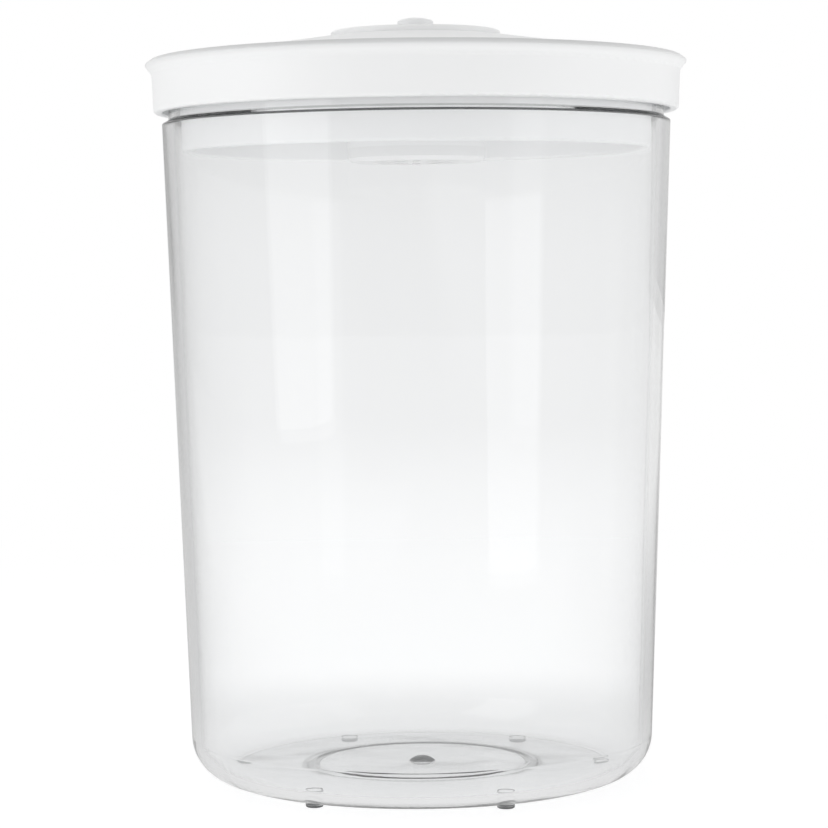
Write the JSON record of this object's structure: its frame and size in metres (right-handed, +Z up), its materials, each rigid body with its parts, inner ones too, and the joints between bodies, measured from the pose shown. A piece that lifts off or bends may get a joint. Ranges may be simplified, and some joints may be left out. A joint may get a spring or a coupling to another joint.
{
  "type": "vacuum seal canister",
  "caption": "Tall clear round food canister with a white push-on vacuum lid, a turning dial valve and a sprung button that lets the air back in.",
  "frame": {"origin": "centre of the jar's base, on the plane of the feet's undersides", "axes": "+Z up along the jar's axis; -Y is the front in the picture, +X is to its right"},
  "size_m": [0.1498, 0.1498, 0.2125],
  "materials": {
    "clear_plastic": "clear moulded plastic, polished",
    "white_plastic": "satin moulded plastic",
    "valve_plastic": "dry self-lubricating plastic",
    "button_plastic": "satin grey plastic",
    "silicone": "translucent matt silicone",
    "spring_steel": "bright drawn stainless wire"
  },
  "bodies": {
    "canister": {"canister_body": "clear_plastic"},
    "lid": {"lid_shell": "white_plastic", "lid_gasket": "silicone", "valve_seat": "valve_plastic", "seat_seal": "silicone", "valve_cage": "white_plastic"},
    "dial": {"dial": "white_plastic", "dial_ring_seal": "silicone", "port_disc": "valve_plastic", "dial_clip": "spring_steel", "button_spring": "spring_steel"},
    "button": {"release_button": "button_plastic", "poppet": "valve_plastic", "poppet_seal": "silicone"}
  },
  "joints": [
    {"name": "lid_lift", "type": "slide", "parent": "canister", "child": "lid", "axis": [0, 0, 1], "range_m": [0, 0.06]},
    {"name": "dial_turn", "type": "hinge", "parent": "lid", "child": "dial", "pos_m": [0, 0, 0.209], "axis": [0, 0, 1], "range_deg": [0, 90]},
    {"name": "button_press", "type": "slide", "parent": "dial", "child": "button", "axis": [0, 0, -1], "range_m": [0, 0.002], "stiffness_N_per_m": 400, "springref_m": -0.0035, "deforming": ["button_spring"]}
  ]
}
